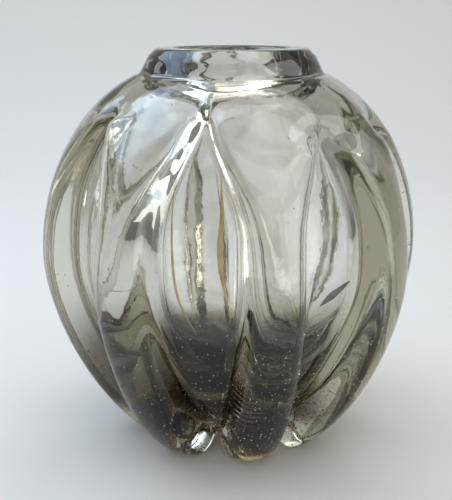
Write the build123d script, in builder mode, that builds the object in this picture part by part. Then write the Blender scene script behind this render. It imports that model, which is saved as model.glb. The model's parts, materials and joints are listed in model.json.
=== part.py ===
from build123d import *
import math
import os

# A heavy hot-worked glass vase: a blown round vessel with a short thick collar, and
# eight solid ribs laid over it that fuse together on the shoulder and end in the
# toes that it stands on. Millimetres, +Z up, origin on the floor at the vase's axis.

os.makedirs("parts", exist_ok=True)

# ---- Driving dimensions ----------------------------------------------------------

height = 250.0  # floor to rim

# Collar
collar_height = 17.0
rim_radius = 49.0  # outside of the rim
collar_foot_radius = 58.0  # outside, where it sits on the ribs' tops
bore_radius = 33.0  # the mouth, through collar and neck
rim_outer_round = 3.0
rim_inner_round = 2.5

# Vessel, outside
neck_radius = 53.0
belly_radius = 99.0
belly_height = 124.0
shoulder_reach = 28.0  # length of the curve's handle, outward from the neck
shoulder_drop = 12.0  # and downward
belly_rise = 56.0  # handle above the belly
belly_fall = 34.0  # handle below the belly
underside_reach = 29.0  # handle outward from the base's edge
underside_rise = 17.0  # and upward
base_radius = 42.0
base_clearance = 16.0  # floor to the flat underside

# Vessel, inside
neck_depth = 12.0  # straight bore below the collar
belly_wall = 8.0
cavity_floor_height = 51.0
cavity_floor_radius = 8.0
cavity_shoulder_reach = 30.0
cavity_floor_reach = 52.0
heel_height = 46.0  # floor to the top of the smoky gather that is the vessel's thick bottom

# Ribs
rib_azimuths = [13, 55, 97, 143, 189, 234, 280, 326]  # laid by hand, so not quite evenly
rib_half_width = 17.5
rib_height = 22.0  # above the vessel, at the belly
rib_height_at_collar = 4.0
rib_height_at_toe = 23.0
rib_toe_half_width = 19.0
rib_crown_ratio = 0.75  # 0.55 would make the sections' crowns elliptical; more is squarer
rib_root = 12.0  # how far a rib's section runs on inside the vessel before it is trimmed
shoulder_spread_ratio = 1.08  # a rib's width on the shoulder, in shares of its sector
spread_start_fraction = 0.12  # along the shoulder curve, where ribs start to narrow
spread_end_fraction = 0.84  # and where they are down to their own width

# Base pad
pad_radius = 39.0
pad_thickness = 7.0
pad_round = 2.5

# ---- Derived sizes ---------------------------------------------------------------

collar_foot_height = height - collar_height
neck_bottom_height = collar_foot_height - neck_depth

shoulder_curve = [
    Vector(neck_radius, collar_foot_height),
    Vector(neck_radius + shoulder_reach, collar_foot_height - shoulder_drop),
    Vector(belly_radius, belly_height + belly_rise),
    Vector(belly_radius, belly_height),
]
underside_curve = [
    Vector(belly_radius, belly_height),
    Vector(belly_radius, belly_height - belly_fall),
    Vector(base_radius + underside_reach, base_clearance + underside_rise),
    Vector(base_radius, base_clearance),
]
cavity_radius = belly_radius - belly_wall
cavity_shoulder = [
    Vector(bore_radius, neck_bottom_height),
    Vector(bore_radius + cavity_shoulder_reach, neck_bottom_height),
    Vector(cavity_radius, belly_height + belly_rise),
    Vector(cavity_radius, belly_height),
]
cavity_bowl = [
    Vector(cavity_radius, belly_height),
    Vector(cavity_radius, belly_height - belly_fall),
    Vector(cavity_floor_radius + cavity_floor_reach, cavity_floor_height),
    Vector(cavity_floor_radius, cavity_floor_height),
]


def ease(x):
    """0 below 0, 1 above 1 and a smooth step between."""
    x = min(max(x, 0.0), 1.0)
    return x * x * (3 - 2 * x)


def curve_point(curve, t):
    """The point at t, from 0 to 1, of a cubic Bezier curve."""
    a, b, c, d = curve
    s = 1 - t
    return a * s**3 + b * (3 * s * s * t) + c * (3 * s * t * t) + d * t**3


def curve_direction(curve, t):
    """The unit tangent at t of a cubic Bezier curve."""
    a, b, c, d = curve
    s = 1 - t
    return ((b - a) * (s * s) + (c - b) * (2 * s * t) + (d - c) * (t * t)).normalized()


# ---- Vessel ----------------------------------------------------------------------

# The outside alone, as a solid blank that the ribs are trimmed by.
with BuildPart() as vessel_blank:
    with BuildSketch(Plane.XZ):
        with BuildLine():
            Bezier(*shoulder_curve)
            Bezier(*underside_curve)
            Polyline((base_radius, base_clearance), (0, base_clearance))
            Polyline((0, base_clearance), (0, collar_foot_height))
            Polyline((0, collar_foot_height), (neck_radius, collar_foot_height))
        make_face()
    revolve(axis=Axis.Z)

# The body, and its two gathers: the clear vessel, on the smoky heel.
with BuildPart() as body:
    add(vessel_blank.part)
    with BuildSketch(Plane.XZ):
        with BuildLine():
            Bezier(*cavity_shoulder)
            Bezier(*cavity_bowl)
            Polyline((cavity_floor_radius, cavity_floor_height), (0, cavity_floor_height))
            Polyline((0, cavity_floor_height), (0, collar_foot_height))
            Polyline((0, collar_foot_height), (bore_radius, collar_foot_height))
            Polyline((bore_radius, collar_foot_height), (bore_radius, neck_bottom_height))
        make_face()
    revolve(axis=Axis.Z, mode=Mode.SUBTRACT)

with BuildPart() as vessel:
    add(body.part)
    split(bisect_by=Plane.XY.offset(heel_height), keep=Keep.TOP)
vessel.part.label = "vessel"
export_step(vessel.part, "parts/vessel.step")

with BuildPart() as heel:
    add(body.part)
    split(bisect_by=Plane.XY.offset(heel_height), keep=Keep.BOTTOM)
heel.part.label = "heel"
export_step(heel.part, "parts/heel.step")

# ---- Collar ----------------------------------------------------------------------

with BuildPart() as collar:
    with BuildSketch(Plane.XZ):
        with BuildLine():
            Polyline(
                (bore_radius, collar_foot_height),
                (collar_foot_radius, collar_foot_height),
                (rim_radius, height),
                (bore_radius, height),
                close=True,
            )
        make_face()
    revolve(axis=Axis.Z)
    rim_edges = collar.edges().filter_by(GeomType.CIRCLE).group_by(Axis.Z)[-1].sort_by(SortBy.RADIUS)
    fillet(rim_edges[-1], rim_outer_round)
    rim_edges = collar.edges().filter_by(GeomType.CIRCLE).group_by(Axis.Z)[-1].sort_by(SortBy.RADIUS)
    fillet(rim_edges[0], rim_inner_round)
collar.part.label = "collar"
export_step(collar.part, "parts/collar.step")

# ---- Ribs ------------------------------------------------------------------------

half_pitch = math.pi / len(rib_azimuths)

# Where sections are drawn: 0 is the neck, 1 the belly, 2 the end of the toe. The first
# lies inside the neck, so that the trimmed rib closes on it all round.
stations = [-0.12, 0.0, 0.15, 0.3, 0.45, 0.6, 0.8, 1.0, 1.25, 1.5, 1.75, 2.0]


def rib_rise_at(station):
    """A rib's height above the vessel; stations run 0 collar, 1 belly, 2 toe."""
    if station < 1:
        return rib_height_at_collar + (rib_height - rib_height_at_collar) * ease(station)
    return rib_height + (rib_height_at_toe - rib_height) * ease(station - 1)


def rib_half_width_at(station, radius):
    """Broad enough on the shoulder to meet its neighbours, then its own width."""
    if station >= 1:
        return rib_half_width + (rib_toe_half_width - rib_half_width) * ease(station - 1)
    sector = radius * math.tan(half_pitch) * shoulder_spread_ratio
    spread = 1 - ease((station - spread_start_fraction) / (spread_end_fraction - spread_start_fraction))
    return rib_half_width + (sector - rib_half_width) * spread


def rib_section(station, azimuth):
    """The plane square to the vessel's side at a station, and the section's sizes."""
    curve = shoulder_curve if station < 1 else underside_curve
    t = station if station < 1 else station - 1
    foot = curve_point(curve, t)
    along = curve_direction(curve, t)
    outward = Vector(-along.Y, along.X)
    angle = math.radians(azimuth)
    radial = Vector(math.sin(angle), -math.cos(angle), 0)
    across = Vector(math.cos(angle), math.sin(angle), 0)
    up = radial * outward.X + Vector(0, 0, outward.Y)
    plane = Plane(
        origin=radial * foot.X + Vector(0, 0, foot.Y), x_dir=across, z_dir=across.cross(up)
    )
    return plane, rib_half_width_at(station, foot.X), rib_rise_at(station)


def mid_plane(azimuth):
    """An upright plane through the axis at an azimuth, facing the way azimuths grow."""
    angle = math.radians(azimuth)
    return Plane(origin=(0, 0, 0), z_dir=(math.cos(angle), math.sin(angle), 0))


count = len(rib_azimuths)
for number, azimuth in enumerate(rib_azimuths, start=1):
    before = rib_azimuths[number - 2] - (360 if number == 1 else 0)
    after = rib_azimuths[number % count] + (360 if number == count else 0)
    with BuildPart() as rib:
        for station in stations:
            plane, half_width, rise = rib_section(station, azimuth)
            crown = [
                (half_width, 0),
                (half_width, rise * rib_crown_ratio),
                (half_width * rib_crown_ratio, rise),
                (0, rise),
            ]
            with BuildSketch(plane):
                with BuildLine():
                    Bezier(*crown)
                    Bezier(*[(-x, y) for x, y in reversed(crown)])
                    Polyline(
                        (-half_width, 0), (-half_width, -rib_root), (half_width, -rib_root), (half_width, 0)
                    )
                make_face()
        loft()
        add(vessel_blank.part, mode=Mode.SUBTRACT)
        split(bisect_by=Plane.XY, keep=Keep.TOP)
        split(bisect_by=Plane.XY.offset(collar_foot_height), keep=Keep.BOTTOM)
        split(bisect_by=mid_plane((before + azimuth) / 2), keep=Keep.TOP)
        split(bisect_by=mid_plane((azimuth + after) / 2), keep=Keep.BOTTOM)
    rib.part.label = f"rib_{number}"
    export_step(rib.part, f"parts/rib_{number}.step")

# ---- Base pad --------------------------------------------------------------------

with BuildPart() as base_pad:
    with BuildSketch(Plane.XY.offset(base_clearance)):
        Circle(pad_radius)
    extrude(amount=-pad_thickness)
    fillet(base_pad.edges().sort_by(Axis.Z)[0], pad_round)
base_pad.part.label = "base_pad"
export_step(base_pad.part, "parts/base_pad.step")
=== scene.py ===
import json
import math

import bmesh
import bpy
import numpy as np
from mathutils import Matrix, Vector, noise


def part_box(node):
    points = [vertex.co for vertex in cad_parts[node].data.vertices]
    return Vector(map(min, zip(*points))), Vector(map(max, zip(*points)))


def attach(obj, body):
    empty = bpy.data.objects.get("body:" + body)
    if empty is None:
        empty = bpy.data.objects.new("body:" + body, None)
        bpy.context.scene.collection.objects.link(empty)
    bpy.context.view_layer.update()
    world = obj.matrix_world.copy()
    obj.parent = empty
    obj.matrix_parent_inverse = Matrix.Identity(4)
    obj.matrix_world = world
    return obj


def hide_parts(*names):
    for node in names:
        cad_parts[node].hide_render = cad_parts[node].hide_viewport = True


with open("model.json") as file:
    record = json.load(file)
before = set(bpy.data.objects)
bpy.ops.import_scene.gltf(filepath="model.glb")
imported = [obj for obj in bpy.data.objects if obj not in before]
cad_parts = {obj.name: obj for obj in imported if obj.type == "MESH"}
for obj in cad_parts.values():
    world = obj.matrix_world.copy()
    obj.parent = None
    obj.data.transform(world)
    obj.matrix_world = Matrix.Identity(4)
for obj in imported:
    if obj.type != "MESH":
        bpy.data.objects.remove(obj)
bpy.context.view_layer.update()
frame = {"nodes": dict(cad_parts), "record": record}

# A heavy ribbed glass vase, as one fused piece of hot-worked glass. The CAD's own curves
# and ribs are followed, with the fillets, slumps and seeds that hot glass has.
# Lengths are in millimetres until they go into a mesh.

MM = 0.001


def span(node):
    """A node's box in millimetres: lowest and highest corner."""
    low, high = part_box(node)
    return low / MM, high / MM


# ---- What the frame gives ----------------------------------------------------------

collar_low, collar_high = span("collar")
vessel_low, vessel_high = span("vessel")
heel_low, heel_high = span("heel")
pad_low, pad_high = span("base_pad")
mouth = next(m for m in frame["record"]["mounts"] if m["name"] == "mouth")

height = collar_high.z
collar_foot = (collar_high.x - collar_low.x) / 2
collar_z = collar_low.z
belly = (vessel_high.x - vessel_low.x) / 2
base_z = heel_low.z
pad_radius = (pad_high.x - pad_low.x) / 2
pad_z = pad_low.z
bore = mouth["dims"]["r_mm"]

# ---- Shape numbers that the frame has no box for ---------------------------------------

RIM = 49.0  # radius
NECK = 53.0
BELLY_Z = 124.0
HANDLE_ABOVE = 180.0  # height of the belly curve's handle above
HANDLE_BELOW = 90.0  # and below
BASE = 42.0
NECK_BOTTOM = 221.0
WALL = 8.0
CAVITY_FLOOR = 51.0
CAVITY_FLOOR_R = 8.0
FIRST_RIB = 13  # azimuth of the rib in front
RIB_AZIMUTHS = [FIRST_RIB, 55, 97, 143, 189, 234, 280, 326]
RIB_HALF_WIDTH = 17.5
RISE_AT_COLLAR = 4
RISE_AT_BELLY = 22
CROWN = 0.75  # 0.55 would make the ribs' crowns elliptical; more is squarer

cavity = belly - WALL
shoulder = np.array(
    [(NECK, collar_z), (NECK + 28, collar_z - 12), (belly, HANDLE_ABOVE), (belly, BELLY_Z)]
)
underside = np.array(
    [(belly, BELLY_Z), (belly, HANDLE_BELOW), (BASE + 29, base_z + 17), (BASE, base_z)]
)
cavity_top = np.array(
    [(bore, NECK_BOTTOM), (bore + 30, NECK_BOTTOM), (cavity, HANDLE_ABOVE), (cavity, BELLY_Z)]
)
cavity_bowl = np.array(
    [
        (cavity, BELLY_Z),
        (cavity, HANDLE_BELOW),
        (CAVITY_FLOOR_R + 52, CAVITY_FLOOR),
        (CAVITY_FLOOR_R, CAVITY_FLOOR),
    ]
)

# ---- How finely the skin is divided, and how often its parts are smoothed ----------------------

NC = 14  # columns from a rib's crest to its foot
NF = 8  # and from there to the middle of the valley
SEAM_ROWS = 49  # rows below the collar whose valleys are smoothed whole
FILLET_PASSES = 8
MERGE_PASSES = 120
ARCH_PASSES = 14
BACK_PASSES = 130

# ---- Seeds ---------------------------------------------------------------------------------

HOLLOW_SEEDS = 520
PALE_SEEDS = 1300  # places tried; some of those high up are left out
OPEN_SEEDS = 900  # places tried; those that would reach the floor are left out
SHALLOWEST = 1.5  # below the skin
DEPTHS = 12  # from there inwards
SKIN_CLEAR = 1.3
CAVITY_CLEAR = 1.6
FLOOR_CLEAR = 3.5

scene = bpy.context.scene


def ease(x):
    """0 below 0, 1 above 1 and a smooth step between."""
    x = np.clip(x, 0.0, 1.0)
    return x * x * (3 - 2 * x)


def bezier(points, t):
    """Points and unit tangents of a cubic Bezier at t."""
    t = np.atleast_1d(t)[:, None]
    s = 1 - t
    a, b, c, d = points
    place = a * s**3 + b * 3 * s * s * t + c * 3 * s * t * t + d * t**3
    way = (b - a) * s * s + (c - b) * 2 * s * t + (d - c) * t * t
    return place, way / np.linalg.norm(way, axis=1, keepdims=True)


def rise_at(t):
    """A rib's height above the vessel; t runs 0 collar, 1 belly, 2 toe."""
    climb = RISE_AT_BELLY - RISE_AT_COLLAR
    return np.where(t < 1, RISE_AT_COLLAR + climb * ease(t), RISE_AT_BELLY + ease(t - 1))


def half_width_at(t, r):
    """Broad enough on the shoulder to meet its neighbours, then its own width."""
    sector = r * math.tan(math.pi / len(RIB_AZIMUTHS)) * 1.08
    spread = 1 - ease((t - 0.12) / 0.72)
    above = RIB_HALF_WIDTH + (sector - RIB_HALF_WIDTH) * spread
    return np.where(t < 1, above, RIB_HALF_WIDTH + 1.5 * ease(t - 1))


def crown(q, w, h):
    """Across and up on a rib's section: q is 0 at the foot, 1 at the crest."""
    p = 1 - q
    across = w * (p**3 + 3 * p * p * q + 3 * CROWN * p * q * q)
    up = h * (3 * CROWN * p * p * q + 3 * p * q * q + q**3)
    return across, up


# ---- The outside: rows down the vessel, columns that follow the ribs ----------------------

rows_t = np.concatenate([np.linspace(0.08, 1, 70)[:-1], np.linspace(1, 2, 66)])
above, above_way = bezier(shoulder, rows_t[rows_t < 1])
below, below_way = bezier(underside, rows_t[rows_t >= 1] - 1)
foot = np.concatenate([above, below])
way = np.concatenate([above_way, below_way])
out = np.stack([-way[:, 1], way[:, 0]], 1)
rise = rise_at(rows_t)
half_width = half_width_at(rows_t, foot[:, 0])
r0, z0, out_r, out_z = foot[:, 0], foot[:, 1], out[:, 0], out[:, 1]


def polar(across, up):
    """Azimuth from the rib's middle, radius and height of points on the rows' sections."""
    base = r0 + up * out_r
    return np.arctan2(across, base), np.hypot(base, across), z0 + up * out_z


def half_sector(middle):
    """Columns from a rib's crest to a valley's middle: azimuth, radius, height, per row."""
    middle = math.radians(middle)
    seam = math.radians(1.3)
    low = np.zeros_like(rows_t)
    high = np.ones_like(rows_t)
    for _ in range(40):
        half = (low + high) / 2
        beyond = polar(*crown(half, half_width, rise))[0] > middle - seam
        low = np.where(beyond, half, low)
        high = np.where(beyond, high, half)
    clipped = polar(*crown(np.zeros_like(rows_t), half_width, rise))[0] > middle - seam
    end = np.where(clipped, high, 0.0)
    columns = []
    for k in range(NC + 1):
        q = 1 - (1 - end) * k / NC
        columns.append(polar(*crown(q, half_width, rise)))
    last, _, _ = columns[-1]
    _, up = crown(end, half_width, rise)
    for j in range(1, NF + 1):
        share = (j / NF) ** 1.25
        angle = last + (middle - last) * share
        columns.append((angle, r0 + up * out_r, z0 + up * out_z))
    return columns, int(clipped.sum())


azimuth, radius, level, kind, apex = [], [], [], [], []
count = len(RIB_AZIMUTHS)
for i in range(count):
    here = RIB_AZIMUTHS[i]
    there = RIB_AZIMUTHS[(i + 1) % count] + (360 if i == count - 1 else 0)
    half = (there - here) / 2
    columns, top_of_valley = half_sector(half)
    apex += [top_of_valley] * (2 * (NC + NF))
    for k, (a, r, z) in enumerate(columns):
        azimuth.append(math.radians(here) + a)
        radius.append(r)
        level.append(z)
        kind.append(k)
    for k in range(NC + NF - 1, 0, -1):
        a, r, z = columns[k]
        azimuth.append(math.radians(there) - a)
        radius.append(r)
        level.append(z)
        kind.append(k)
azimuth = np.array(azimuth).T
radius = np.array(radius).T
level = np.array(level).T
kind = np.array(kind)
apex = np.array(apex)
columns_n = len(kind)


def placed(azimuth, radius, level):
    """Points from azimuth, radius and height; azimuth 0 is the front, -Y."""
    return np.stack([radius * np.sin(azimuth), -radius * np.cos(azimuth), level], -1)


outside = placed(azimuth, radius, level)

# The toes' ends: each last section closes back to the base's edge.
last_azimuth = azimuth[-1]
cap = []
edge = placed(last_azimuth, np.full(columns_n, r0[-1]), np.full(columns_n, base_z))
for s in (0.14, 0.3, 0.48, 0.68, 0.86):
    cap.append(outside[-1] * (1 - s) + edge * s)
underneath = [edge]
for r, z in (
    (pad_radius + 0.6, base_z - 1.2),
    (pad_radius, base_z - 3.5),
    (pad_radius - 0.7, pad_z + 1.0),
    (pad_radius - 2.6, pad_z),
    (pad_radius * 0.72, pad_z + 0.3),
    (pad_radius * 0.45, pad_z + 0.9),
    (pad_radius * 0.2, pad_z + 1.4),
):
    underneath.append(placed(last_azimuth, np.full(columns_n, r), np.full(columns_n, z)))

# ---- Collar, rim and cavity -------------------------------------------------------------

top_azimuth = azimuth[0]


def ring(r, z):
    """A level ring, with its columns where the top row has them."""
    return placed(top_azimuth, np.full(columns_n, float(r)), np.full(columns_n, float(z)))


side = np.array([RIM - collar_foot, height - collar_z])
side = side / np.linalg.norm(side)
fillet_rows = []
start = np.array([collar_foot, collar_z]) + side * 3.5
first_r, first_z = radius[0], level[0]
for s in np.linspace(0, 1, 7)[:-1]:
    a, b = 2 * s**3 - 3 * s * s + 1, -2 * s**3 + 3 * s * s
    c, d = s**3 - 2 * s * s + s, s**3 - s * s
    pull = 8.0
    r = a * start[0] + b * first_r + c * pull * -side[0] + d * pull * way[0, 0]
    z = a * start[1] + b * first_z + c * pull * -side[1] + d * pull * way[0, 1]
    fillet_rows.append(placed(top_azimuth, r, z))

rim_rows = []
for r, z in (
    (RIM - 3.0 - 0.2, height),
    (RIM - 1.9, height - 0.35),
    (RIM - 0.75, height - 1.3),
    (RIM + 0.35, height - 2.8),
):
    rim_rows.append(ring(r, z))
for s in (0.3, 0.52, 0.76):
    point = np.array([RIM, height]) * (1 - s) + start * s
    rim_rows.append(ring(*point))

inner_rows = [ring(2.5, CAVITY_FLOOR)]
bowl, _ = bezier(cavity_bowl[::-1], np.linspace(0, 1, 22)[:-1])
neck, _ = bezier(cavity_top[::-1], np.linspace(0, 1, 19))
inner_rows += [ring(r, z) for r, z in np.concatenate([bowl, neck])]
inner_rows += [ring(bore, z) for z in (226, 232, 238, 243.5)]
inner_rows += [
    ring(bore + 0.05, height - 3.2),
    ring(bore + 0.6, height - 1.5),
    ring(bore + 1.5, height - 0.5),
    ring(bore + 3.0, height),
    ring((bore + RIM) / 2, height),
]

first_inner = len(inner_rows)
grid = np.array(inner_rows + rim_rows + fillet_rows + list(outside) + cap + underneath)
first_outer = first_inner + len(rim_rows)
first_rib = first_outer + len(fillet_rows)
first_cap = first_rib + len(outside)
rows_n = len(grid)

# ---- Fillets, slumps and waves -----------------------------------------------------------


def smoothed(points, weight, passes):
    """Points drawn towards their four neighbours, as far as the weight lets each go."""
    for _ in range(passes):
        around = (np.roll(points, 1, 1) + np.roll(points, -1, 1)) / 2
        along = points.copy()
        along[1:-1] = (points[2:] + points[:-2]) / 2
        points = points + 0.5 * weight[..., None] * ((around + along) / 2 - points)
    return points


weight = np.zeros((rows_n, columns_n))
near_foot = {NC - 2: 0.35, NC - 1: 0.8, NC: 1.0, NC + 1: 1.0, NC + 2: 0.7, NC + 3: 0.3}
for k, w in near_foot.items():
    weight[first_rib:first_cap, kind == k] = w
for k in range(NC - 1, NC + NF + 1):
    weight[first_rib : first_rib + SEAM_ROWS, kind == k] = 1.0
weight[first_outer : first_rib + 3] = np.maximum(weight[first_outer : first_rib + 3], 0.6)
ends = np.linspace(0.15, 1, 9)
for j, w in enumerate(ends):
    weight[first_cap - 9 + j] = np.maximum(weight[first_cap - 9 + j], w)
weight[first_cap : first_cap + 8] = 1.0
grid = smoothed(grid, weight, FILLET_PASSES)

# Above the valleys the ribs have run together, and hardly a crease is left between them.
span_rows = slice(first_outer, first_rib + int(apex.max()))
row = np.arange(rows_n)[span_rows, None] - first_rib
merged = (1 - ease((row - (apex - 14)) / 12)) * ease((kind - 2) / 4)
patch = grid[span_rows]
for _ in range(MERGE_PASSES):
    around = (np.roll(patch, 1, 1) + np.roll(patch, -1, 1)) / 2
    patch = patch + 0.7 * merged[..., None] * (around - patch)
grid[span_rows] = patch

# The arch at each valley's head is rounded a little more than the rest.
row = np.arange(rows_n)[:, None] - first_rib - apex
arch = ease((9 - np.abs(row - 1)) / 6) * ease((kind - NC + 6) / 3)
grid = smoothed(grid, arch, ARCH_PASSES)

# The ribs at the back lie softer in the wall than the front ones.
part = slice(first_rib - 4, first_cap)
patch = grid[part]
behind = ease((patch[..., 1] / np.hypot(patch[..., 0], patch[..., 1]) - 0.15) / 0.5)
soft = behind * ease((kind - NC + 11) / 7)
soft[:3] = 0
soft[-6:] = 0
grid[part] = smoothed(patch, soft, BACK_PASSES)

# Nothing goes through the floor: the toes settle onto it.
LOWEST = -6  # what lies lower is first lifted to here
SOFTNESS = 1.4  # of the turn from falling to lying flat
lift = np.maximum(grid[first_rib:, :, 2], LOWEST)
grid[first_rib:, :, 2] = np.maximum(0.5 * (lift + np.sqrt(lift**2 + SOFTNESS)), 0.0)


def wave(points, scale, seed):
    """Smooth noise at the points, with waves about as long as the scale."""
    shift = Vector((seed * 3.1, seed * 7.7, seed * 1.3))
    flat = points.reshape(-1, 3)
    values = [noise.noise(Vector(p) / scale + shift) for p in flat]
    return np.array(values).reshape(points.shape[:-1])


normal = np.cross(np.gradient(grid, axis=0), np.gradient(grid, axis=1))
normal /= np.maximum(np.linalg.norm(normal, axis=-1, keepdims=True), 1e-9)
wobble = 0.5 * wave(grid, 60, 1) + 0.03 * wave(grid, 18, 2) - 0.45
wobble[:first_inner] = 0.8 * wave(grid[:first_inner], 75, 3)
calm = np.ones(rows_n)
calm[:3] = 0.2
calm[first_inner - 9 : first_rib] = 0.15
calm[first_cap + 4 :] = 0.3
grid = grid + normal * (wobble * calm[:, None])[..., None]
# The wobble has moved the toes, so their ends are set back on the floor.
grid[..., 2] -= grid[..., 2].min() * ease((14 - grid[..., 2]) / 10)
grid[..., 2] = np.clip(grid[..., 2], 0.0, height)

# ---- Into a mesh ------------------------------------------------------------------------------


def to_mesh(name, bm, material=None):
    """A bmesh made into a smooth mesh with its material, and freed."""
    for face in bm.faces:
        face.smooth = True
    made = bpy.data.meshes.new(name)
    bm.to_mesh(made)
    bm.free()
    if material:
        made.materials.append(material)
    return made


def add_object(name, data):
    """A new object in the scene."""
    made = bpy.data.objects.new(name, data)
    scene.collection.objects.link(made)
    return made


def glass_mesh():
    """The grid's rows and columns as one closed skin, inside and out."""
    bm = bmesh.new()
    verts = [[bm.verts.new(Vector(p) * MM) for p in row] for row in grid]
    for j in range(rows_n - 1):
        upper, lower = verts[j], verts[j + 1]
        for i in range(columns_n):
            n = (i + 1) % columns_n
            bm.faces.new((upper[i], lower[i], lower[n], upper[n]))
    inner = bm.verts.new(Vector((0, 0, CAVITY_FLOOR)) * MM)
    under = bm.verts.new(Vector((0, 0, pad_z + 1.6)) * MM)
    for i in range(columns_n):
        n = (i + 1) % columns_n
        bm.faces.new((inner, verts[0][i], verts[0][n]))
        bm.faces.new((under, verts[-1][n], verts[-1][i]))
    bm.normal_update()
    return to_mesh("vase_glass", bm)


mesh = glass_mesh()
vase = add_object("vase_glass", mesh)

# ---- Glass --------------------------------------------------------------------------------


def smooth_step(tree, source, low, high):
    """A socket that runs smoothly from 0 at low to 1 at high, which may be the smaller."""
    step = tree.nodes.new("ShaderNodeMapRange")
    step.interpolation_type = "SMOOTHSTEP"
    step.inputs["From Min"].default_value = low
    step.inputs["From Max"].default_value = high
    tree.links.new(source, step.inputs["Value"])
    return step.outputs["Result"]


def product(tree, one, other):
    """A socket that multiplies two."""
    made = tree.nodes.new("ShaderNodeMath")
    made.operation = "MULTIPLY"
    tree.links.new(one, made.inputs[0])
    tree.links.new(other, made.inputs[1])
    return made.outputs["Value"]


def distance_from(tree, source, centre):
    """A socket with the distance from a fixed point, in metres."""
    made = tree.nodes.new("ShaderNodeVectorMath")
    made.operation = "DISTANCE"
    made.inputs[1].default_value = centre
    tree.links.new(source, made.inputs[0])
    return made.outputs["Value"]


def grained(name, scale, dark, pale, stops=(0.0, 1.0)):
    """A material whose colour runs between two by fine noise, and its shader."""
    made = bpy.data.materials.new(name)
    made.use_nodes = True
    nodes, links = made.node_tree.nodes, made.node_tree.links
    shader = nodes["Principled BSDF"]
    place = nodes.new("ShaderNodeTexCoord")
    grain = nodes.new("ShaderNodeTexNoise")
    grain.inputs["Scale"].default_value = scale
    ramp = nodes.new("ShaderNodeValToRGB")
    for stop, position, colour in zip(ramp.color_ramp.elements, stops, (dark, pale)):
        stop.position = position
        stop.color = colour
    links.new(place.outputs["Object"], grain.inputs["Vector"])
    links.new(grain.outputs["Fac"], ramp.inputs["Fac"])
    links.new(ramp.outputs["Color"], shader.inputs["Base Color"])
    return made, shader


glass = bpy.data.materials.new("clear_hot_glass")
glass.use_nodes = True
tree = glass.node_tree
nodes, links = tree.nodes, tree.links
nodes.clear()
output = nodes.new("ShaderNodeOutputMaterial")
shader = nodes.new("ShaderNodeBsdfPrincipled")
shader.inputs["Base Color"].default_value = (1, 1, 1, 1)
shader.inputs["Transmission Weight"].default_value = 1.0
shader.inputs["IOR"].default_value = 1.5
place = nodes.new("ShaderNodeTexCoord")
fine = nodes.new("ShaderNodeTexNoise")
fine.inputs["Scale"].default_value = 90
fine.inputs["Detail"].default_value = 3
links.new(place.outputs["Object"], fine.inputs["Vector"])
spread = nodes.new("ShaderNodeMapRange")
spread.inputs["From Min"].default_value = 0.35
spread.inputs["From Max"].default_value = 0.75
spread.inputs["To Min"].default_value = 0.0
spread.inputs["To Max"].default_value = 0.04
links.new(fine.outputs["Fac"], spread.inputs["Value"])
links.new(spread.outputs["Result"], shader.inputs["Roughness"])
# Tool marks: short ripples low on the front rib, where it was pressed.
aside = distance_from(tree, place.outputs["Object"], (0.000, -0.098, 0.050))
pressed = smooth_step(tree, aside, 0.022, 0.009)
ripple = nodes.new("ShaderNodeTexWave")
ripple.bands_direction = "Z"
ripple.inputs["Scale"].default_value = 85
ripple.inputs["Distortion"].default_value = 2.0
ripple.inputs["Detail"].default_value = 1.0
links.new(place.outputs["Object"], ripple.inputs["Vector"])
marks = product(tree, ripple.outputs["Fac"], pressed)
ripples = nodes.new("ShaderNodeBump")
ripples.inputs["Strength"].default_value = 1.0
ripples.inputs["Distance"].default_value = 0.0004
links.new(marks, ripples.inputs["Height"])
bump = nodes.new("ShaderNodeBump")
links.new(ripples.outputs["Normal"], bump.inputs["Normal"])
bump.inputs["Strength"].default_value = 0.12
bump.inputs["Distance"].default_value = 0.001
links.new(fine.outputs["Fac"], bump.inputs["Height"])
links.new(bump.outputs["Normal"], shader.inputs["Normal"])
# Low down the glass is darker: partly its own smoky tint, partly painted shade that darkens the
# base as dark surroundings seen through it would. The colour deepens downwards and towards a point
# inside the vase, in front and to the left of its middle, and leaves the toes clear.
axes = nodes.new("ShaderNodeSeparateXYZ")
links.new(place.outputs["Object"], axes.inputs["Vector"])
flat = nodes.new("ShaderNodeCombineXYZ")
links.new(axes.outputs["X"], flat.inputs["X"])
links.new(axes.outputs["Y"], flat.inputs["Y"])
away = distance_from(tree, flat.outputs["Vector"], (-0.024, -0.043, 0))
low_down = smooth_step(tree, axes.outputs["Z"], 0.118, 0.062)
inward = smooth_step(tree, away, 0.100, 0.062)
toes = smooth_step(tree, axes.outputs["Z"], 0.013, 0.030)
smoke_and_shade = product(tree, product(tree, low_down, inward), toes)
# The near-black colour here is the smoky tint together with painted shade.
heel = nodes.new("ShaderNodeMix")
heel.data_type = "RGBA"
heel.inputs["A"].default_value = (1, 1, 1, 1)
heel.inputs["B"].default_value = (0.08, 0.06, 0.04, 1)
links.new(smoke_and_shade, heel.inputs["Factor"])
links.new(heel.outputs["Result"], shader.inputs["Base Color"])
see = nodes.new("ShaderNodeBsdfTransparent")
see.inputs["Color"].default_value = (0.71, 0.70, 0.66, 1)
path = nodes.new("ShaderNodeLightPath")
mix = nodes.new("ShaderNodeMixShader")
links.new(path.outputs["Is Shadow Ray"], mix.inputs["Fac"])
links.new(shader.outputs["BSDF"], mix.inputs[1])
links.new(see.outputs["BSDF"], mix.inputs[2])
links.new(mix.outputs["Shader"], output.inputs["Surface"])
tint = nodes.new("ShaderNodeVolumeAbsorption")
tint.inputs["Color"].default_value = (0.71, 0.69, 0.59, 1)
tint.inputs["Density"].default_value = 30.0
links.new(tint.outputs["Volume"], output.inputs["Volume"])
mesh.materials.append(glass)

# ---- Seeds: hollows in the glass, joined to its mesh as inner shells ---------------------------

pick = np.random.default_rng(7)
cavity_line = np.array(inner_rows)[:, 0]
cavity_r = np.hypot(cavity_line[:, 0], cavity_line[:, 1])
cavity_z = cavity_line[:, 2]


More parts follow.
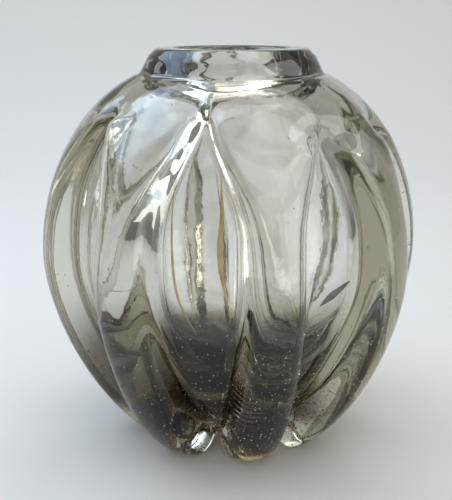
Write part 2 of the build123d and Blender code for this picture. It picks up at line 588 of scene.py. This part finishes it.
def hollow_at(z):
    """The cavity's radius at a height, or 0 below it."""
    order = np.argsort(cavity_z[: first_inner - 5])
    return float(np.interp(z, cavity_z[order], cavity_r[order], left=0.0))


def seed_places(wanted):
    """Places inside the glass, more of them low down, each with the way the glass was drawn."""
    skin, inwards = grid[first_rib:first_cap], -normal[first_rib:first_cap]
    chance = 1 + 5 * ease((100 - skin[..., 2]) / 70)
    beside = np.cos(azimuth - math.radians(FIRST_RIB))
    front = ease((math.cos(math.radians(35)) - beside) * -8 + 0.5)
    chance = chance * (1 + 1.5 * front * ease((90 - skin[..., 2]) / 50))
    chance = (chance / chance.sum()).ravel()
    places = []
    while len(places) < wanted:
        j, i = divmod(int(pick.choice(chance.size, p=chance)), columns_n)
        deep = SHALLOWEST + DEPTHS * pick.random() ** 1.8
        spot = skin[j, i] + inwards[j, i] * deep
        away = math.hypot(spot[0], spot[1])
        if away < hollow_at(spot[2]) + CAVITY_CLEAR or spot[2] < FLOOR_CLEAR:
            continue
        near = np.linalg.norm(skin[max(j - 8, 0) : j + 9, :] - spot, axis=-1).min()
        if near < SKIN_CLEAR:
            continue
        drawn = skin[min(j + 1, len(skin) - 1), i] - skin[max(j - 1, 0), i]
        places.append((spot, drawn / np.linalg.norm(drawn)))
    return places


def draw_out(ball, spot, drawn, size, stretch):
    """Size a unit ball, stretch it the way the glass was drawn, and put it in its place."""
    turn = Vector(drawn).to_track_quat("Z", "Y").to_matrix().to_4x4()
    for v in ball["verts"]:
        p = turn @ Vector((v.co.x * size, v.co.y * size, v.co.z * size * stretch))
        v.co = (Vector(spot) + p) * MM


shells = bmesh.new()
for spot, drawn in seed_places(HOLLOW_SEEDS):
    size = 0.32 + 0.25 * pick.random() + (0.35 if pick.random() < 0.06 else 0.0)
    stretch = 1.0 + 0.9 * pick.random() ** 2
    ball = bmesh.ops.create_icosphere(shells, subdivisions=2 if size > 0.4 else 1, radius=1.0)
    draw_out(ball, spot, drawn, size, stretch)
for face in shells.faces:
    face.smooth = True
    face.normal_flip()
shells.from_mesh(mesh)
shells.to_mesh(mesh)
shells.free()

# Smaller seeds catch the light as pale specks, mostly low in the ribs, some of them open at
# the skin. They are metallic, since a bubble in glass looks like a small mirror.
speck, speck_shader = grained("pale_seeds", 400, (0.72, 0.68, 0.58, 1), (0.97, 0.96, 0.92, 1))
speck_shader.inputs["Roughness"].default_value = 0.3
speck_shader.inputs["Metallic"].default_value = 1.0
specks = bmesh.new()
for spot, drawn in seed_places(PALE_SEEDS):
    if spot[2] > 120 and pick.random() < 0.45:
        continue
    size = 0.24 + 0.2 * pick.random() ** 2
    ball = bmesh.ops.create_icosphere(specks, subdivisions=1, radius=1.0)
    draw_out(ball, spot, drawn, size, 1.5)
in_front = ease((np.cos(azimuth - math.radians(10)) - 0.6) * 4)
low_chance = ease((118 - level) / 60) * (1 + 3 * in_front)
low_chance = (low_chance / low_chance.sum()).ravel()
for n in pick.choice(low_chance.size, OPEN_SEEDS, p=low_chance):
    j, i = divmod(int(n), columns_n)
    size = 0.2 + 0.22 * pick.random() ** 2
    spot = grid[first_rib + j, i] - normal[first_rib + j, i] * 0.05
    if spot[2] < size:
        continue
    ball = bmesh.ops.create_icosphere(specks, subdivisions=1, radius=size)
    for v in ball["verts"]:
        v.co = (Vector(spot) + v.co) * MM
speck_piece = add_object("pale_seeds", to_mesh("pale_seeds", specks, speck))
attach(speck_piece, "root")

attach(vase, "root")
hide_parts(*sorted(set(frame["nodes"]) - {"heel"}))

# ---- Streaks, slivers and a cord in the wall -----------------------------------------------------


def vessel_radius(z):
    """The vessel's outer radius at a height."""
    order = np.argsort(foot[:, 1])
    return float(np.interp(z, foot[order, 1], foot[order, 0]))


def streak(name, path, wide, thin, material):
    """A flat thread of colour drawn through the wall; path is (azimuth, height, depth)."""
    knots = []
    for a, z, deep in path:
        r = vessel_radius(z) - deep
        knots.append((r * math.sin(math.radians(a)), -r * math.cos(math.radians(a)), z))
    curve = bpy.data.curves.new(name, "CURVE")
    curve.dimensions = "3D"
    spline = curve.splines.new("NURBS")
    spline.points.add(len(knots) - 1)
    for point, knot in zip(spline.points, knots):
        point.co = (*knot, 1)
    spline.order_u = 3
    spline.use_endpoint_u = True
    spline.resolution_u = 8
    line = bpy.data.objects.new(name, curve)
    bare = bpy.data.meshes.new_from_object(line)
    points = np.array([v.co for v in bare.vertices])
    bpy.data.objects.remove(line)
    bm = bmesh.new()
    loops = []
    sides = 8
    for n, p in enumerate(points):
        along = Vector(points[min(n + 1, len(points) - 1)] - points[max(n - 1, 0)]).normalized()
        outwards = Vector((p[0], p[1], 0)).normalized()
        across = along.cross(outwards).normalized()
        swell = math.sin(math.pi * (n + 0.4) / (len(points) - 0.2)) ** 0.7
        loop = []
        for k in range(sides):
            c, s = math.cos(math.tau * k / sides), math.sin(math.tau * k / sides)
            beside = Vector(p) + across * c * wide * swell
            loop.append(bm.verts.new((beside + outwards * s * thin * swell) * MM))
        loops.append(loop)
    for a, b in zip(loops, loops[1:]):
        for k in range(sides):
            bm.faces.new((a[k], a[(k + 1) % sides], b[(k + 1) % sides], b[k]))
    bm.faces.new(loops[0][::-1])
    bm.faces.new(loops[-1])
    bmesh.ops.recalc_face_normals(bm, faces=bm.faces[:])
    piece = add_object(name, to_mesh(name, bm, material))
    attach(piece, "root")


amber, amber_shader = grained(
    "amber_thread", 120, (0.66, 0.45, 0.16, 1), (0.93, 0.78, 0.40, 1), stops=(0.3, 0.7)
)
amber_shader.inputs["Roughness"].default_value = 0.45
amber_shader.inputs["Transmission Weight"].default_value = 0.35

# Seen between two ribs.
amber_1 = [(-21, 186, 3), (-20.5, 160, 3.4), (-19.5, 130, 3.6), (-17, 112, 3.6), (-12, 97, 3.4)]
amber_2 = [(-3.5, 190, 3), (-3, 166, 3.4), (-4.2, 145, 3.6), (-2.5, 126, 3.6), (0, 107, 3.4)]
streak("amber_streak_1", amber_1, 0.8, 0.25, amber)
streak("amber_streak_2", amber_2, 1.5, 0.3, amber)

# Two dark slivers, and a pale cord that the gathers have caught.
dark_sliver, dark_sliver_shader = grained("dark_sliver", 500, (0.05, 0.045, 0.04, 1), (0.22, 0.20, 0.17, 1))
dark_sliver_shader.inputs["Roughness"].default_value = 0.7
sliver_1 = [(31, 111.5, 1.6), (34, 115, 1.6), (38, 118, 1.6), (44, 122.5, 1.6)]
sliver_2 = [(-34, 89.5, -13), (-31, 87.5, -14), (-27.5, 86.5, -13)]
cord = [(-41, 131, -11), (-37, 126.5, -15), (-32, 124.5, -17), (-26.5, 128, -16)]
streak("dark_streak_1", sliver_1, 2.5, 0.3, dark_sliver)
streak("dark_streak_2", sliver_2, 1.6, 0.4, dark_sliver)
streak("pale_cord", cord, 0.28, 0.28, speck)

# ---- The smoky heart of the heel: the same glass, so it bends no light, only deeper in colour, partly as painted shade ----

heart = bpy.data.materials.new("smoky_glass")
heart.use_nodes = True
heart_nodes, heart_links = heart.node_tree.nodes, heart.node_tree.links
heart_shader = heart_nodes["Principled BSDF"]
heart_shader.inputs["Base Color"].default_value = (1, 1, 1, 1)
heart_shader.inputs["Roughness"].default_value = 0.0
heart_shader.inputs["IOR"].default_value = 1.0
heart_shader.inputs["Transmission Weight"].default_value = 1.0
# Its deep absorption is partly the glass's own smoke and partly painted shade for the thick base.
heart_tint = heart_nodes.new("ShaderNodeVolumeAbsorption")
heart_tint.inputs["Color"].default_value = (0.70, 0.62, 0.46, 1)
heart_tint.inputs["Density"].default_value = 90.0
heart_links.new(heart_tint.outputs["Volume"], heart_nodes["Material Output"].inputs["Volume"])


def heel_mesh():
    """A solid of revolution just inside the heel's own outline."""
    low, high = base_z + 0.8, heel_high.z - 0.8
    profile = [
        (36, low),
        (41, base_z + 1.6),
        (46, base_z + 4.2),
        (55, base_z + 11.5),
        (62, base_z + 20.0),
        (66.0, base_z + 25.4),
        (65.6, high - 2.0),
        (60, high - 0.6),
        (40, high),
    ]
    around = 96
    turns = [math.tau * k / around for k in range(around)]
    bm = bmesh.new()
    bottom = bm.verts.new(Vector((0, 0, low)) * MM)
    top = bm.verts.new(Vector((0, 0, high)) * MM)
    loops = []
    for r, z in profile:
        spots = [Vector((r * math.cos(t), r * math.sin(t), z)) * MM for t in turns]
        loops.append([bm.verts.new(p) for p in spots])
    for a, b in zip(loops, loops[1:]):
        for k in range(around):
            bm.faces.new((a[k], a[(k + 1) % around], b[(k + 1) % around], b[k]))
    for k in range(around):
        bm.faces.new((bottom, loops[0][(k + 1) % around], loops[0][k]))
        bm.faces.new((top, loops[-1][k], loops[-1][(k + 1) % around]))
    bmesh.ops.recalc_face_normals(bm, faces=bm.faces[:])
    return to_mesh("smoky_shaded_heel", bm, heart)


heel_piece = add_object("smoky_shaded_heel", heel_mesh())
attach(heel_piece, "root")
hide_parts("heel")

# ---- Floor and backdrop ---------------------------------------------------------------------


def sweep_mesh():
    """A pale floor that curves up into the backdrop."""
    flat_to, bend, reach = 0.8, 0.7, 2.6  # metres
    steps = 12
    bm = bmesh.new()
    profile = [(-2.5, 0.0), (-1.0, 0.0), (0.0, 0.0), (0.5, 0.0), (flat_to, 0.0)]
    for k in range(1, steps + 1):
        a = math.radians(90 * k / steps)
        profile.append((flat_to + bend * math.sin(a), bend - bend * math.cos(a)))
    profile.append((flat_to + bend, reach))
    rows = []
    for y, z in profile:
        rows.append([bm.verts.new((x, y, z)) for x in np.linspace(-reach, reach, 9)])
    for a, b in zip(rows, rows[1:]):
        for i in range(len(a) - 1):
            bm.faces.new((a[i], a[i + 1], b[i + 1], b[i]))
    return to_mesh("studio_sweep", bm)


sweep = add_object("studio_sweep", sweep_mesh())
paper = bpy.data.materials.new("pale_paper")
paper.use_nodes = True
paper_shader = paper.node_tree.nodes["Principled BSDF"]
paper_shader.inputs["Base Color"].default_value = (0.77, 0.765, 0.75, 1)
paper_shader.inputs["Roughness"].default_value = 0.9
paper_shader.inputs["Specular IOR Level"].default_value = 0.1
sweep.data.materials.append(paper)

# ---- Light ------------------------------------------------------------------------------------

LAMP_AIM = 0.12  # metres above the floor
WARM = (1.0, 0.99, 0.97)


def softbox(name, azimuth, elevation, distance, size, power, colour, sheen=False):
    """A lamp that faces the vase. A sheen lamp shows in the glass and doesn't light the floor."""
    light = bpy.data.lights.new(name, "AREA")
    light.shape = "RECTANGLE"
    light.size, light.size_y = size
    light.energy = power
    light.color = colour
    lamp = bpy.data.objects.new(name, light)
    a, e = math.radians(azimuth), math.radians(elevation)
    way = Vector((math.sin(a) * math.cos(e), -math.cos(a) * math.cos(e), math.sin(e)))
    lamp.location = Vector((0, 0, LAMP_AIM)) + way * distance
    lamp.rotation_euler = (-way).to_track_quat("-Z", "Y").to_euler()
    lamp.visible_diffuse = not sheen
    scene.collection.objects.link(lamp)


softbox("window_left", -112, 52, 1.3, (1.1, 0.9), 6.5, (0.62, 0.79, 1.0))
softbox("front_bank", 6, 41, 1.15, (1.2, 0.3), 1.4, (0.98, 0.99, 1.0), sheen=True)
softbox("side_left", -80, 24, 0.9, (0.25, 0.4), 0.34, (0.95, 0.98, 1.0), sheen=True)
softbox("side_right", 50, 17, 0.52, (0.36, 0.60), 1.0, WARM, sheen=True)
softbox("high_right", 56, 60, 0.75, (0.22, 0.50), 0.38, WARM, sheen=True)
softbox("ceiling", 10, 84, 2.2, (2.2, 2.2), 15, (1.0, 0.995, 0.98))
softbox("overhead", 150, 68, 1.4, (0.8, 0.5), 1.8, (1.0, 1.0, 1.0))
softbox("sky_left", -108, 50, 1.3, (1.1, 0.8), 3.4, (0.38, 0.62, 1.0), sheen=True)
softbox("sky_front", -80, 39, 1.2, (0.5, 0.26), 0.44, (0.66, 0.80, 1.0), sheen=True)
softbox("sky_right", 76, 41, 1.2, (1.0, 0.36), 2.6, (1.0, 0.99, 0.96), sheen=True)
softbox("card_right", 42, 8, 0.70, (0.46, 0.42), 1.2, WARM, sheen=True)
softbox("card_left", -113, 18, 0.8, (0.14, 0.44), 0.42, (0.97, 0.99, 1.0), sheen=True)

# The room is brightest overhead, cooler on the left and darker low down. The camera itself sees
# a plain pale background in its place.
world = bpy.data.worlds.new("studio")
scene.world = world
world.use_nodes = True
sky = world.node_tree
air, air_links = sky.nodes, sky.links
room = air["Background"]
aim = air.new("ShaderNodeTexCoord")
split = air.new("ShaderNodeSeparateXYZ")
air_links.new(aim.outputs["Generated"], split.inputs["Vector"])
upward = smooth_step(sky, split.outputs["Z"], 0.05, 0.75)
cooler = smooth_step(sky, split.outputs["X"], 0.3, -0.6)
ceiling = air.new("ShaderNodeMix")
ceiling.data_type = "RGBA"
ceiling.inputs["A"].default_value = (1.0, 1.0, 0.99, 1)
ceiling.inputs["B"].default_value = (0.80, 0.90, 1.0, 1)
air_links.new(cooler, ceiling.inputs["Factor"])
whole = air.new("ShaderNodeMix")
whole.data_type = "RGBA"
whole.inputs["A"].default_value = (0.24, 0.245, 0.25, 1)
air_links.new(ceiling.outputs["Result"], whole.inputs["B"])
air_links.new(upward, whole.inputs["Factor"])
air_links.new(whole.outputs["Result"], room.inputs["Color"])
room.inputs["Strength"].default_value = 0.74
plain = air.new("ShaderNodeBackground")
plain.inputs["Color"].default_value = (0.62, 0.64, 0.66, 1)
seen = air.new("ShaderNodeLightPath")
either = air.new("ShaderNodeMixShader")
air_links.new(seen.outputs["Is Camera Ray"], either.inputs["Fac"])
air_links.new(room.outputs["Background"], either.inputs[1])
air_links.new(plain.outputs["Background"], either.inputs[2])
air_links.new(either.outputs["Shader"], air["World Output"].inputs["Surface"])

# ---- Camera ----------------------------------------------------------------------------------

LOOKS_DOWN = 15.4924  # degrees
LOOKS_LEFT = 0.0068  # radians
eye = bpy.data.cameras.new("camera")
eye.sensor_width = 36
eye.lens = 61.71
camera = add_object("camera", eye)
camera.location = (0, -0.540, 0.27074)
camera.rotation_euler = (math.radians(90 - LOOKS_DOWN), 0, LOOKS_LEFT)
scene.camera = camera

scene.view_settings.view_transform = "Standard"
scene.cycles.max_bounces = 28
scene.cycles.transmission_bounces = 28
scene.cycles.glossy_bounces = 16
scene.cycles.transparent_max_bounces = 24
